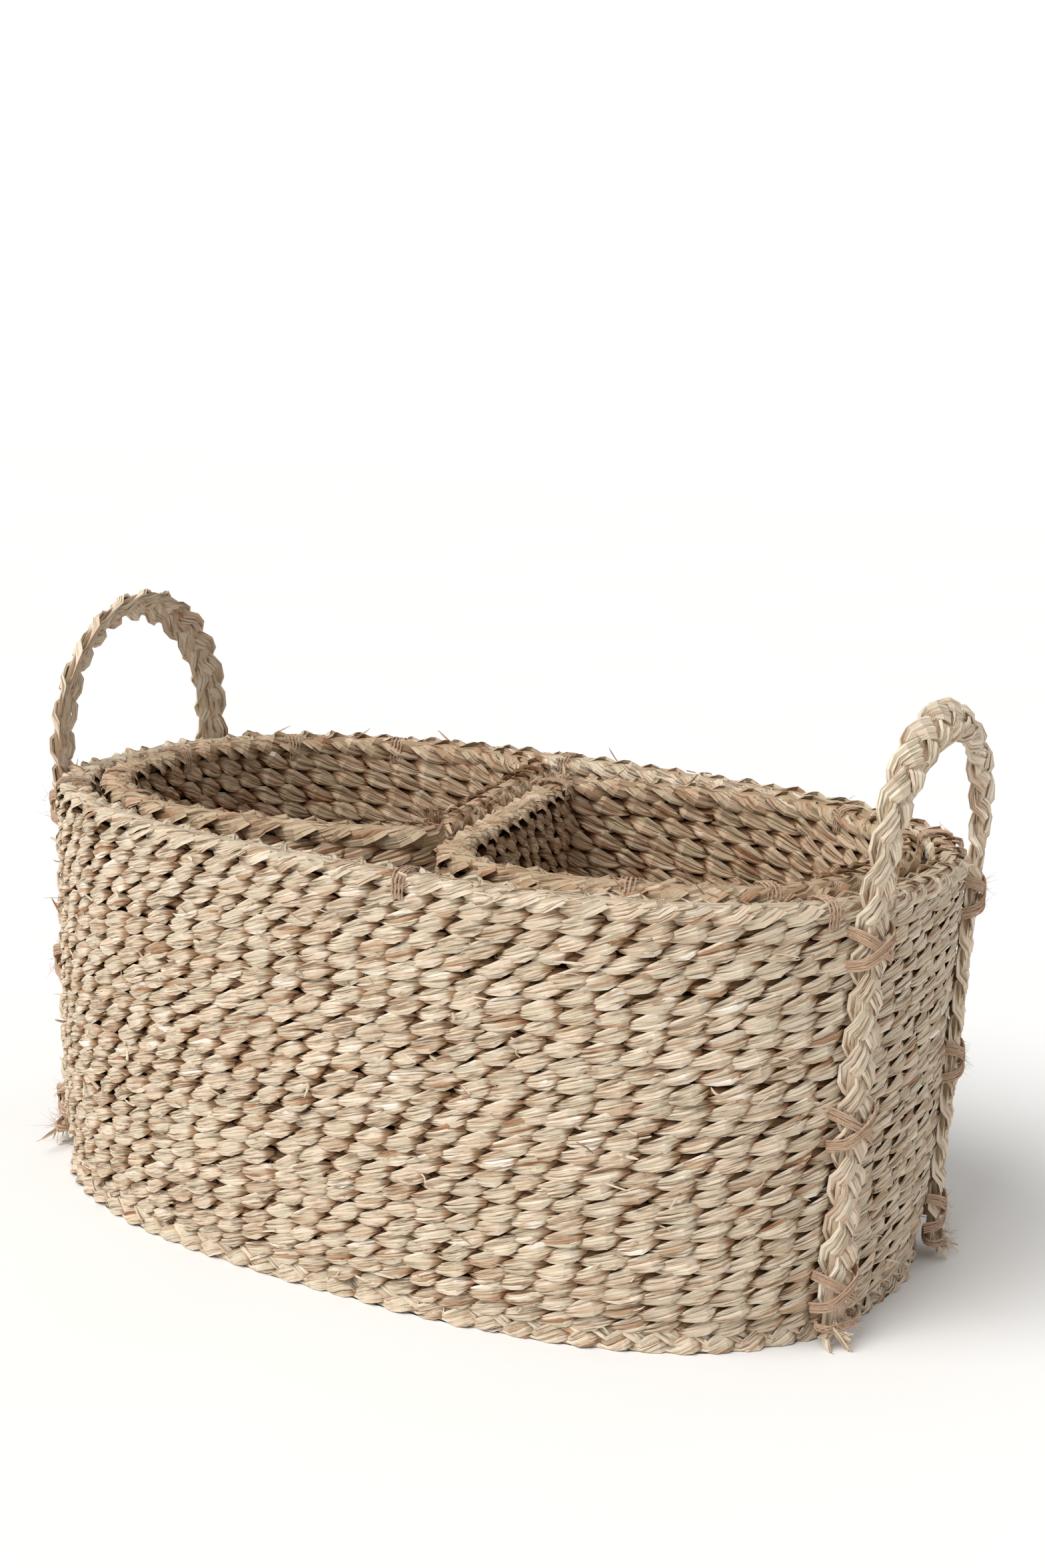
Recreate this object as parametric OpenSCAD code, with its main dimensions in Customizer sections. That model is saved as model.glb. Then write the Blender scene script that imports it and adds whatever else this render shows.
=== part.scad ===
// Oval storage basket of plaited seagrass, with two lift-out inserts and two braided handles.
// The wall is one plait coiled up from the base and sewn turn to turn: each turn is a course.
// Millimetres, +Z up, origin at the centre of the base on the floor, +X along the length.

/* [Basket] */
// Outside length of the basket at the rim
basket_l = 560; // [480:10:640]
// Outside width of the basket at the rim
basket_w = 380; // [330:10:430]
// How square the oval is: 2 is an ellipse
squareness = 2.55; // [2.2:0.05:3]
// Size of the base as a share of the rim
base_share = 0.987; // [0.96:0.001:1]
// Width of the plait, which is the thickness of the wall
wall = 20; // [16:1:24]
// Thickness of the plait, which is the height of one course
course_h = 9.64; // [9:0.02:13]

/* [Inserts] */
// Width of the plait in the inserts
insert_wall = 18; // [14:1:20]
// Height of one course in the inserts
insert_course_h = 11.1; // [9:0.1:11.4]
// Free space between an insert and the basket's wall
insert_gap = 4; // [3:0.5:6]
// Half of the space between the two inserts, along the length
divider_gap = 4; // [3:0.5:8]
// Slant of the divider walls, as run over rise
divider_slant = 0.22; // [0:0.01:0.25]

/* [Handles] */
// Width of the handle's braid
braid_w = 28; // [24:1:32]
// Thickness of the handle's braid
braid_t = 11; // [9:1:14]
// Distance from the middle of the basket's end to where a leg lies on the wall
leg_y = 76; // [66:1:90]
// Height of the handle's fold above the rim
fold_rise = 9.5; // [9:0.5:14]

/* [Lashings] */
// Thickness of the jute lashings
twine_t = 3; // [2:0.5:4]
// Slant of each turn of a crossed lashing
cross_angle = 28; // [15:1:35]
// Heights of the crossed lashings above the floor
lashing_z = [32, 126, 226];

/* [Hidden] */
courses = 26;
insert_courses = 22;
sides = 56;
corner_steps = 7;
touch = 0.3;
rim_z = courses * course_h;
insert_z = course_h + touch;
fold_z = rim_z + fold_rise;
half_l = basket_l / 2;
half_w = basket_w / 2;

// Where an insert's outline leaves the basket's curve for its rounded corners
tight_corner_x = -85;
round_corner_x = -130;
divider_back_y = 122;
divider_front_y = -78;

leg_foot_z = 6;
leg_top_gap = 0.3;
knot_z = 13;
stitch_w = 4;
stitch_t = 1.6;
stitch_clear = 0.3;
stitch_drop = 12;
rim_stitches = 6;
insert_stitches = 5;
whipping_w = 9;
whipping_place = 0.05;

straw = "#c9b79b";
pale_straw = "#d6c8ae";
dry_straw = "#b9a283";
jute = "#b08c6a";

COURSE_NODES = [for (i = [1:courses - 2]) str("outer_course_", i < 10 ? "0" : "", i)];
ENDS = ["left", "right"];
LEGS = ["front", "back"];

// ---- outlines -------------------------------------------------------------

function signed_power(v, e) = sign(v) * pow(abs(v), e);

// A closed oval, anticlockwise from +X
function oval(a, b) = [
    for (i = [0:sides - 1]) let (t = 360 * (i + 0.5) / sides)
        [a * signed_power(cos(t), 2 / squareness), b * signed_power(sin(t), 2 / squareness)]
];

function edge_normal(p, q) = let (d = q - p) [d.y, -d.x] / norm(d);

// The outline moved inwards by d, square to its edges
function inset(points, d) = let (n = len(points)) [
    for (i = [0:n - 1]) let (
        before = edge_normal(points[(i + n - 1) % n], points[i]),
        after = edge_normal(points[i], points[(i + 1) % n])
    ) points[i] - d * (before + after) / (1 + before * after)
];

function bezier(p0, p1, p2, p3, t) =
    pow(1 - t, 3) * p0 + 3 * t * pow(1 - t, 2) * p1 + 3 * t * t * (1 - t) * p2 + pow(t, 3) * p3;

// A rounded corner from p0 to p3, without its two ends
function corner(p0, p1, p2, p3) =
    [for (i = [1:corner_steps - 1]) bezier(p0, p1, p2, p3, i / corner_steps)];

// Share of the rim's size that the wall has at height z
function share_at(z) = base_share + (1 - base_share) * z / rim_z;

function basket_outline(z) = oval(half_l * share_at(z), half_w * share_at(z));

function divider_point(y) = [-divider_gap - divider_slant * y, y];

// The left insert: the basket's curve at the far end, a slanted divider at the middle
function insert_outline() = let (
    curve = inset(basket_outline(0), wall + insert_gap),
    kept = [for (p = curve) if (p.x < (p.y > 0 ? tight_corner_x : round_corner_x)) p],
    start = kept[len(kept) - 1],
    end = kept[0],
    front = divider_point(divider_front_y),
    back = divider_point(divider_back_y),
    up = (back - front) / norm(back - front)
) concat(
    kept,
    corner(start, start + [75, -3], front - 36 * up, front),
    [front, back],
    corner(back, back + 18 * up, end + [26, -1], end)
);

// ---- shared shapes --------------------------------------------------------

module stadium(w, t) {
    square([t, w - t], center = true);
    for (s = [-1, 1]) translate([0, s * (w - t) / 2]) circle(d = t, $fn = 48);
}

module ring(outline, thickness, z, h) {
    translate([0, 0, z]) linear_extrude(h) difference() {
        polygon(outline);
        polygon(inset(outline, thickness));
    }
}

module mat(outline, z, h) translate([0, 0, z]) linear_extrude(h) polygon(outline);

// A flat stitch over the top course, a share of the way along the outline's side i
module stitch(outline, i, share, thickness, top, length, drop) {
    n = len(outline);
    d = outline[(i + 1) % n] - outline[i];
    middle = outline[i] + share * d;
    reach = thickness + 2 * (stitch_clear + stitch_t);
    translate([middle.x, middle.y, top]) rotate([0, 0, atan2(d.y, d.x)])
        translate([-length / 2, -stitch_clear - stitch_t, -drop]) difference() {
            cube([length, reach, drop + stitch_clear + stitch_t]);
            translate([-1, stitch_t, -1])
                cube([length + 2, thickness + 2 * stitch_clear, drop + stitch_clear + 1]);
        }
}

// ---- basket ---------------------------------------------------------------

module outer_course(i) {
    z = i * course_h;
    color(i % 2 == 0 ? straw : pale_straw) ring(basket_outline(z), wall, z, course_h);
}

module outer_base() color(dry_straw) mat(inset(basket_outline(0), wall), 0, course_h);

module outer_rim_stitches() {
    color(jute) for (k = [0:rim_stitches - 1])
        stitch(basket_outline(rim_z - course_h), floor((k + 0.5) * sides / rim_stitches), 0.5,
            wall, rim_z, stitch_w, stitch_drop);
}

// ---- handles --------------------------------------------------------------

function end_sign(e) = e == "left" ? -1 : 1;
function leg_sign(l) = l == "front" ? -1 : 1;

leg_x = half_l * pow(1 - pow(leg_y / half_w, squareness), 1 / squareness);
leg_normal = atan2(pow(leg_y, squareness - 1) / pow(half_w, squareness),
    pow(leg_x, squareness - 1) / pow(half_l, squareness));
leg_stand = braid_t / 2 + touch;
fold_x = leg_x + leg_stand * cos(leg_normal);
fold_y = leg_y + leg_stand * sin(leg_normal);
leg_lean = atan((1 - base_share) * norm([leg_x, leg_y]) / rim_z);
leg_top_z = fold_z - braid_t / 2 - leg_top_gap;

// Children are drawn in the leg's own frame: x out of the wall, z up it, origin at the leg's top
module on_leg(e, l) {
    mirror([e == "left" ? 1 : 0, 0, 0]) mirror([0, l == "front" ? 1 : 0, 0])
        translate([fold_x, fold_y, leg_top_z]) rotate([0, 0, leg_normal]) rotate([0, leg_lean, 0])
            children();
}

module leg_bar(grow) {
    translate([0, 0, leg_foot_z - leg_top_z]) linear_extrude(leg_top_z - leg_foot_z)
        stadium(braid_w + 2 * grow, braid_t + 2 * grow);
}

module handle_leg(e, l) color(pale_straw) on_leg(e, l) leg_bar(0);

// The arch above the fold, with a round knuckle on the fold's axis at each foot
module handle_loop(e) {
    color(pale_straw) mirror([e == "left" ? 1 : 0, 0, 0]) translate([fold_x, 0, fold_z]) {
        rotate([90, 0, 90]) rotate_extrude(angle = 180, $fn = 96) translate([fold_y, 0])
            rotate([0, 0, 90]) stadium(braid_w, braid_t);
        for (s = [-1, 1]) translate([0, s * fold_y, 0]) rotate([90, 0, 0])
            cylinder(d = braid_t, h = braid_w, center = true, $fn = 48);
    }
}

module wall_cutter(z) mat(inset(basket_outline(z), -touch), 0, rim_z);

module band(w, t, h) translate([0, 0, -h / 2]) linear_extrude(h) stadium(w, t);

module crossed_lashing(e, l, z) {
    color(jute) difference() {
        on_leg(e, l) translate([0, 0, z - leg_top_z]) for (s = [-1, 1]) rotate([s * cross_angle, 0, 0])
            band(braid_w + 2 * twine_t + 4, braid_t + 2 * twine_t, 5);
        on_leg(e, l) leg_bar(0.15);
        wall_cutter(z + course_h);
    }
}

module end_knot(e, l) {
    color(jute) difference() {
        on_leg(e, l) translate([0, 0, knot_z - leg_top_z]) {
            band(braid_w + 2 * twine_t, braid_t + 2 * twine_t + 2, 6);
            translate([braid_t / 2 + 2, 0, 0]) sphere(d = 11, $fn = 32);
        }
        on_leg(e, l) leg_bar(0.15);
        wall_cutter(knot_z + course_h);
    }
}

// ---- inserts --------------------------------------------------------------

module place_insert(e) rotate([0, 0, e == "left" ? 0 : 180]) children();

insert_top = insert_z + insert_courses * insert_course_h;
insert_rim_z = insert_top - insert_course_h;

module insert_base(e) color(dry_straw) place_insert(e)
    mat(inset(insert_outline(), insert_wall), insert_z, insert_course_h);

module insert_wall(e) color(straw) place_insert(e)
    ring(insert_outline(), insert_wall, insert_z, insert_rim_z - insert_z);

module insert_rim(e) color(pale_straw) place_insert(e)
    ring(insert_outline(), insert_wall, insert_rim_z, insert_course_h);

module insert_stitch_row(e) {
    outline = insert_outline();
    color(jute) place_insert(e) for (k = [0:insert_stitches - 1])
        stitch(outline, floor((k + 0.5) * (len(outline) - 2 * corner_steps) / insert_stitches), 0.5,
            insert_wall, insert_top, stitch_w, stitch_drop);
}

// The rim's loose end is bound down near one end of the divider
module insert_whipping(e) {
    outline = insert_outline();
    color(jute) place_insert(e)
        stitch(outline, len(outline) - corner_steps - 1, whipping_place,
            insert_wall, insert_top, whipping_w, stitch_drop);
}

// ---- nodes ----------------------------------------------------------------

outer_base();
outer_course(0);  // outer_foot_course
for (i = [1:courses - 2]) outer_course(i);
outer_course(courses - 1);  // outer_rim_course
outer_rim_stitches();
for (e = ENDS) {
    handle_loop(e);
    for (l = LEGS) {
        handle_leg(e, l);
        crossed_lashing(e, l, lashing_z[0]);
        crossed_lashing(e, l, lashing_z[1]);
        crossed_lashing(e, l, lashing_z[2]);
        end_knot(e, l);
    }
    insert_base(e);
    insert_wall(e);
    insert_rim(e);
    insert_stitch_row(e);
    insert_whipping(e);
}
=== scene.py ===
"""Seagrass storage basket: plaited courses, braided handles, jute lashings and two lift-out inserts."""

import math

import bmesh
import bpy
import numpy as np
from mathutils import Matrix, Vector


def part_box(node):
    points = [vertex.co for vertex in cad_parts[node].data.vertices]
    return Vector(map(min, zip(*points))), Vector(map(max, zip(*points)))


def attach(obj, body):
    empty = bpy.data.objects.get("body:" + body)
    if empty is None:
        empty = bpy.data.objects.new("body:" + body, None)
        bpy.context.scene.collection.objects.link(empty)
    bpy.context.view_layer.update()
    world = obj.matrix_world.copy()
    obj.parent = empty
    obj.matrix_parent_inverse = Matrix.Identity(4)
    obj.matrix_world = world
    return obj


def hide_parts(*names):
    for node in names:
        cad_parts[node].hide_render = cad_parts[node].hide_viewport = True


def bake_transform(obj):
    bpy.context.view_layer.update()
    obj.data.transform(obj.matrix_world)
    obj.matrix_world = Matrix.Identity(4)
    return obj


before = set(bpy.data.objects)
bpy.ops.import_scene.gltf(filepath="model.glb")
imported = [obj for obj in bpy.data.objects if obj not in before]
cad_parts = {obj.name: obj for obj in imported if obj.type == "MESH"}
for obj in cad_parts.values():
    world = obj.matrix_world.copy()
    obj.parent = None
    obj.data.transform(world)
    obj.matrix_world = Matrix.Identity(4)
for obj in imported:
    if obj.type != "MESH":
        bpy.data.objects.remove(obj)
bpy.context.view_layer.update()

MM = 0.001
ENDS = ("left", "right")
LEGS = ("front", "back")
UP = np.array([0.0, 0.0, 1.0])

# ---- camera, light and floor ------------------------------------------------

CAMERA_TARGET = (0.0, 0.0, 0.120)
CAMERA_AZIMUTH = 29.6
CAMERA_ELEVATION = 16.7
CAMERA_ROLL = 2.56
CAMERA_DISTANCE = 1.425
CAMERA_LENS = 52.9
CAMERA_SHIFT = (0.0212, 0.1462)

SUN_AZIMUTH = -115  # degrees anticlockwise from +X
SUN_ELEVATION = 48
SUN_SPREAD = 45  # degrees of sky it fills, which softens its shadow
SUN_STRENGTH = 2.75
FILL_STRENGTH = 0.52
BACKDROP_EXTRA = 0.65
FLOOR_HALF = 6.0


def place_camera():
    azimuth, elevation = math.radians(CAMERA_AZIMUTH), math.radians(CAMERA_ELEVATION)
    flat = math.cos(elevation)
    back = Vector((math.sin(azimuth) * flat, -math.cos(azimuth) * flat, math.sin(elevation)))
    data = bpy.data.cameras.new("camera")
    data.lens = CAMERA_LENS
    data.shift_x, data.shift_y = CAMERA_SHIFT
    camera = bpy.data.objects.new("camera", data)
    bpy.context.scene.collection.objects.link(camera)
    place = Matrix.Translation(Vector(CAMERA_TARGET) + CAMERA_DISTANCE * back)
    aim = back.to_track_quat("Z", "Y").to_matrix().to_4x4()
    camera.matrix_world = place @ aim @ Matrix.Rotation(math.radians(CAMERA_ROLL), 4, "Z")
    bpy.context.scene.camera = camera


def sun(name, azimuth, elevation, spread, strength):
    """A far light. Angles are in degrees and azimuth goes anticlockwise from +X."""
    data = bpy.data.lights.new(name, "SUN")
    data.angle = math.radians(spread)
    data.energy = strength
    light = bpy.data.objects.new(name, data)
    bpy.context.scene.collection.objects.link(light)
    a, e = math.radians(azimuth), math.radians(elevation)
    toward = Vector((math.cos(a) * math.cos(e), math.sin(a) * math.cos(e), math.sin(e)))
    aim = toward.to_track_quat("Z", "Y").to_matrix().to_4x4()
    light.matrix_world = Matrix.Translation(3 * toward) @ aim


def light_studio():
    """A white studio. The camera sees the backdrop brighter than it lights the basket."""
    world = bpy.data.worlds.new("studio")
    world.use_nodes = True
    tree = world.node_tree
    seen = add(tree, "LightPath")
    extra = math_node(tree, "MULTIPLY", seen.outputs["Is Camera Ray"], BACKDROP_EXTRA)
    strength = math_node(tree, "ADD", extra, FILL_STRENGTH)
    tree.links.new(strength, tree.nodes["Background"].inputs["Strength"])
    tree.nodes["Background"].inputs["Color"].default_value = (1, 1, 1, 1)
    bpy.context.scene.world = world
    bpy.context.scene.view_settings.view_transform = "Standard"
    sun("key", SUN_AZIMUTH, SUN_ELEVATION, SUN_SPREAD, SUN_STRENGTH)


def lay_floor():
    mesh = bpy.data.meshes.new("floor")
    bm = bmesh.new()
    bmesh.ops.create_grid(bm, x_segments=4, y_segments=4, size=FLOOR_HALF)
    bm.to_mesh(mesh)
    bm.free()
    mesh.materials.append(painted_floor())
    floor = bpy.data.objects.new("floor", mesh)
    bpy.context.scene.collection.objects.link(floor)


# ---- materials ---------------------------------------------------------------


def linear(hex_colour):
    """An sRGB hex colour as linear RGBA."""
    parts = [int(hex_colour[i : i + 2], 16) / 255 for i in (1, 3, 5)]
    return [p / 12.92 if p <= 0.04045 else ((p + 0.055) / 1.055) ** 2.4 for p in parts] + [1.0]


def add(tree, kind, settings=None, inputs=None):
    """Adds a node. An input is a plain value or another node's output."""
    node = tree.nodes.new("ShaderNode" + kind)
    for name, value in (settings or {}).items():
        setattr(node, name, value)
    for name, value in (inputs or {}).items():
        if isinstance(value, bpy.types.NodeSocket):
            tree.links.new(value, node.inputs[name])
        else:
            node.inputs[name].default_value = value
    return node


def math_node(tree, operation, a, b):
    return add(tree, "Math", {"operation": operation}, {0: a, 1: b}).outputs[0]


def ramp(tree, factor, stops):
    """A colour ramp through (position, hex colour) stops."""
    node = add(tree, "ValToRGB", None, {"Fac": factor})
    elements = node.color_ramp.elements
    while len(elements) < len(stops):
        elements.new(0.5)
    for element, (position, colour) in zip(elements, stops):
        element.position = position
        element.color = linear(colour)
    return node.outputs["Color"]


def shade_by(tree, share, colour, shade):
    """A colour darkened by a shade, which counts in full when share is 1."""
    settings = {"data_type": "RGBA", "blend_type": "MULTIPLY"}
    return add(tree, "Mix", settings, {0: share, 6: colour, 7: shade}).outputs[2]


def new_material(name):
    material = bpy.data.materials.new(name)
    material.use_nodes = True
    tree = material.node_tree
    return material, tree, tree.nodes["Principled BSDF"]


def seagrass(name, tones, shade, roughness):
    """Dried seagrass blades: matt to satin, with fine ribs along each blade and a tone of its own.

    The lay attribute holds millimetres across the blade, millimetres along it and the blade's number.
    The depth attribute is painted light and shade: 0 in the middle of the plait, on its filling and on the
    strands' tails, which it paints in shade, and 1 outside, where the colour is left as it is.
    """
    material, tree, surface = new_material(name)
    lay = add(tree, "Attribute", {"attribute_name": "lay"})
    painted_light = add(tree, "Attribute", {"attribute_name": "painted_light"})
    parts = add(tree, "SeparateXYZ", None, {0: lay.outputs["Vector"]})
    across, along, blade = parts.outputs

    # Ribs 1.3 mm apart that run 25 mm before they fade
    rib_place = add(tree, "CombineXYZ", None, {
        0: math_node(tree, "MULTIPLY", across, 0.75),
        1: math_node(tree, "MULTIPLY", along, 0.04),
        2: math_node(tree, "MULTIPLY", blade, 7.3),
    })
    ribs = add(tree, "TexNoise", None, {
        "Vector": rib_place.outputs[0], "Scale": 1.0, "Detail": 3.0, "Roughness": 0.65})

    # A tone for each blade, which drifts over some 50 mm of its length
    tone_place = add(tree, "CombineXYZ", None, {
        0: math_node(tree, "MULTIPLY", across, 0.04),
        1: math_node(tree, "MULTIPLY", along, 0.022),
        2: math_node(tree, "MULTIPLY", blade, 3.1),
    })
    drift = add(tree, "TexNoise", None, {
        "Vector": tone_place.outputs[0], "Scale": 1.0, "Detail": 2.0, "Roughness": 0.5})
    own = add(tree, "TexWhiteNoise", {"noise_dimensions": "1D"}, {"W": blade})
    tone = math_node(tree, "ADD", math_node(tree, "MULTIPLY", drift.outputs[0], 1.6),
                     math_node(tree, "MULTIPLY", own.outputs[0], 0.5))
    tone = math_node(tree, "SUBTRACT", tone, 0.53)
    colour = ramp(tree, tone, tones)

    rib_shade = ramp(tree, ribs.outputs[0], [(0.35, "#6b5444"), (0.43, "#cdbdac"), (0.50, "#ffffff")])
    colour = shade_by(tree, 0.8, colour, rib_shade)
    # Painted shade: the colour is darkened towards the shade colour in the plait's middle, on its filling and
    # on the strands' tails.
    painted_shade = ramp(tree, painted_light.outputs["Fac"], [(0.28, shade), (0.48, "#c2a78e"), (0.64, "#ffffff")])
    colour = shade_by(tree, 1.0, colour, painted_shade)

    bump = add(tree, "Bump", None, {
        "Strength": 0.55, "Distance": 0.5 * MM, "Height": ribs.outputs[0]})
    tree.links.new(colour, surface.inputs["Base Color"])
    tree.links.new(bump.outputs[0], surface.inputs["Normal"])
    surface.inputs["Roughness"].default_value = roughness
    surface.inputs["Specular IOR Level"].default_value = 0.32
    surface.inputs["IOR"].default_value = 1.45
    return material


def jute_twine():
    """Jute twine: soft twisted fibre with no gloss, warm brown with paler hairs."""
    material, tree, surface = new_material("jute_twine_spun")
    lay = add(tree, "Attribute", {"attribute_name": "lay"})
    parts = add(tree, "SeparateXYZ", None, {0: lay.outputs["Vector"]})
    across, along, strand = parts.outputs
    place = add(tree, "CombineXYZ", None, {
        0: math_node(tree, "MULTIPLY", across, 2.2),
        1: math_node(tree, "MULTIPLY", along, 0.22),
        2: math_node(tree, "MULTIPLY", strand, 5.7),
    })
    fibre = add(tree, "TexNoise", None, {
        "Vector": place.outputs[0], "Scale": 1.0, "Detail": 4.0, "Roughness": 0.7})
    tones = [(0.28, "#84664f"), (0.43, "#b8987d"), (0.56, "#cfb197"), (0.72, "#e0ccb7")]
    bump = add(tree, "Bump", None, {
        "Strength": 0.8, "Distance": 0.5 * MM, "Height": fibre.outputs[0]})
    tree.links.new(ramp(tree, fibre.outputs[0], tones), surface.inputs["Base Color"])
    tree.links.new(bump.outputs[0], surface.inputs["Normal"])
    surface.inputs["Roughness"].default_value = 0.9
    surface.inputs["Specular IOR Level"].default_value = 0.2
    return material


def painted_floor():
    """Matt white studio paint: no gloss, and a faint unevenness."""
    material, tree, surface = new_material("matt_white_paint")
    place = add(tree, "TexCoord")
    uneven = add(tree, "TexNoise", None, {"Vector": place.outputs["Object"], "Scale": 3.0})
    colour = ramp(tree, uneven.outputs[0], [(0.3, "#f1f0ee"), (0.7, "#f4f3f1")])
    tree.links.new(colour, surface.inputs["Base Color"])
    surface.inputs["Roughness"].default_value = 0.9
    return material


# ---- tubes: every blade and twine is a grid rolled up and laid along its route -------

FLOOR_CLEAR = 0.2 * MM
BLADE_CREASE = 16  # degrees past which an edge stays sharp
TWINE_CREASE = 80

_blanks = {}


def blank(rings, sides, closed):
    """A mesh of the joined-up faces of one tube, and each vertex's ring and side."""
    key = rings, sides, closed
    if key in _blanks:
        return _blanks[key]
    bm = bmesh.new()
    bmesh.ops.create_grid(bm, x_segments=sides, y_segments=rings if closed else rings - 1, size=0.5)
    row = sides + 1
    ring_layer = bm.verts.layers.int.new("ring")
    side_layer = bm.verts.layers.int.new("side")
    verts = list(bm.verts)
    onto = {}
    for i, vert in enumerate(verts):
        ring, side = divmod(i, row)
        vert[ring_layer], vert[side_layer] = ring, side
        target = verts[(0 if closed and ring == rings else ring) * row + side % sides]
        if target is not vert:
            onto[vert] = target
    bmesh.ops.weld_verts(bm, targetmap=onto)
    if not closed:
        open_edges = [e for e in bm.edges if e.is_boundary]
        bmesh.ops.holes_fill(bm, edges=open_edges, sides=sides)
    mesh = bpy.data.meshes.new("blank")
    bm.to_mesh(mesh)
    bm.free()
    index = np.zeros((2, len(mesh.vertices)), np.int32)
    mesh.attributes["ring"].data.foreach_get("value", index[0])
    mesh.attributes["side"].data.foreach_get("value", index[1])
    for name in ("ring", "side"):
        mesh.attributes.remove(mesh.attributes[name])
    _blanks[key] = mesh, index[0], index[1]
    return _blanks[key]


def tubes_object(name, tubes, material, crease=BLADE_CREASE):
    """One object of many tubes. A tube is (points, lay, depth, closed), each array rings by sides."""
    bm = bmesh.new()
    points, lays, painted_lights = [], [], []
    for place, lay, painted_light, closed in tubes:
        mesh, ring, side = blank(place.shape[0], place.shape[1], closed)
        bm.from_mesh(mesh)
        points.append(place[ring, side])
        lays.append(lay[ring, side])
        painted_lights.append(painted_light[ring, side])
    mesh = bpy.data.meshes.new(name)
    bm.to_mesh(mesh)
    bm.free()
    points = np.concatenate(points)
    points[:, 2] = np.maximum(points[:, 2], FLOOR_CLEAR)
    mesh.vertices.foreach_set("co", points.astype(np.float32).ravel())
    attribute = mesh.attributes.new("lay", "FLOAT_VECTOR", "POINT")
    attribute.data.foreach_set("vector", np.concatenate(lays).astype(np.float32).ravel())
    attribute = mesh.attributes.new("painted_light", "FLOAT", "POINT")
    attribute.data.foreach_set("value", np.concatenate(painted_lights).astype(np.float32).ravel())
    mesh.update()
    mesh.shade_smooth()
    mesh.set_sharp_from_angle(angle=math.radians(crease))
    mesh.materials.append(material)
    piece = bpy.data.objects.new(name, mesh)
    bpy.context.scene.collection.objects.link(piece)
    return piece


def unit(vectors):
    return vectors / np.maximum(np.linalg.norm(vectors, axis=-1, keepdims=True), 1e-12)


def tangents(points, closed):
    if closed:
        return unit(np.roll(points, -1, axis=0) - np.roll(points, 1, axis=0))
    return unit(np.gradient(points, axis=0))


def wander(rng, count, knots, amount):
    """Random values that change smoothly over count rings and end as they start."""
    values = rng.normal(0.0, amount, knots)
    values = np.append(values, values[0])
    return np.interp(np.arange(count) * knots / count, np.arange(knots + 1), values)


# ---- routes --------------------------------------------------------------------


def outline_of(node):
    """The outer outline of a ring or mat in plan, anticlockwise, read from its side walls."""
    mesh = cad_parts[node].data
    low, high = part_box(node)
    middle = (low + high) / 2
    found = set()
    for face in mesh.polygons:
        outward = (face.center - middle).xy
        if abs(face.normal.z) < 0.2 and face.normal.xy.dot(outward) > 0:
            corners = [mesh.vertices[v].co for v in face.vertices]
            found.update((round(co.x, 6), round(co.y, 6)) for co in corners)
    return np.array(sorted(found, key=lambda p: math.atan2(p[1] - middle.y, p[0] - middle.x)))


def spread(points, count):
    """Points spread evenly along a closed line."""
    closed = np.vstack([points, points[:1]])
    run = np.append(0, np.cumsum(np.linalg.norm(np.diff(closed, axis=0), axis=1)))
    place = np.arange(count) * run[-1] / count
    return np.stack([np.interp(place, run, closed[:, i]) for i in range(closed.shape[1])], axis=1)


def smooth_loop(points, rounds):
    for _ in range(rounds):
        points = (np.roll(points, 1, axis=0) + 2 * points + np.roll(points, -1, axis=0)) / 4
    return points


LOOP_POINTS = 720
OUTLINE_SMOOTHING = 40
MAT_SMOOTHING = 60


class Loop:
    """A closed level line, with its length and the outward direction at each place."""

    def __init__(self, points, z):
        self.points = spread(points, LOOP_POINTS)
        along = tangents(self.points, True)
        self.normals = np.stack([along[:, 1], -along[:, 0]], axis=1)
        steps = np.roll(self.points, -1, axis=0) - self.points
        self.length = float(np.linalg.norm(steps, axis=1).sum())
        self.z = z

    def inset(self, distance):
        return Loop(smooth_loop(self.points - distance * self.normals, 3), self.z)

    def at(self, s, start=0.0):
        """Place, outward and upward directions at distances s along the line."""
        place = (s / self.length + start) % 1.0 * LOOP_POINTS
        nodes = np.arange(LOOP_POINTS + 1)
        values = np.hstack([self.points, self.normals])
        values = np.vstack([values, values[:1]])
        x, y, nx, ny = (np.interp(place, nodes, values[:, i]) for i in range(4))
        level = np.full_like(x, self.z)
        out = unit(np.stack([nx, ny, np.zeros_like(nx)], axis=1))
        return np.stack([x, y, level], axis=1), out, np.tile(UP, (len(x), 1))


def loop_of(node, z, inset):
    points = spread(outline_of(node), LOOP_POINTS)
    return Loop(smooth_loop(points, OUTLINE_SMOOTHING), z).inset(inset)


# ---- the plait -------------------------------------------------------------------

# Half a turn of one strand: degrees, reach to the edge, rise, facing in degrees, fullness, and how far
# it lies in the open, which the depth attribute keeps as painted light: low values paint shade where it tucks
# in and on its tail.
# In an edgewise plait the strand comes out low at the edge, fans out to a crease and tucks in over the top.
EDGEWISE = np.array([
    (0, 0.66, -0.95, -14, 0.42, 0.44),
    (26, 0.82, -0.80, -4, 0.64, 0.66),
    (62, 0.93, -0.36, 4, 0.90, 0.78),
    (102, 1.03, 0.36, 8, 1.10, 0.82),
    (131, 0.88, 0.72, 12, 0.84, 0.56),
    (157, 0.66, 0.92, 18, 0.50, 0.38),
])
# A rim is the same plait, with the strands full where they cross its open top.
RIM = np.array([
    (0, 0.34, -0.95, -40, 0.80, 0.46),
    (24, 0.68, -0.95, -14, 0.84, 0.66),
    (60, 0.90, -0.55, 0, 1.00, 0.78),
    (98, 1.02, 0.05, 14, 1.10, 0.82),
    (122, 0.88, 0.60, 46, 1.22, 0.78),
    (150, 0.50, 1.00, 78, 1.50, 0.66),
])
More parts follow.
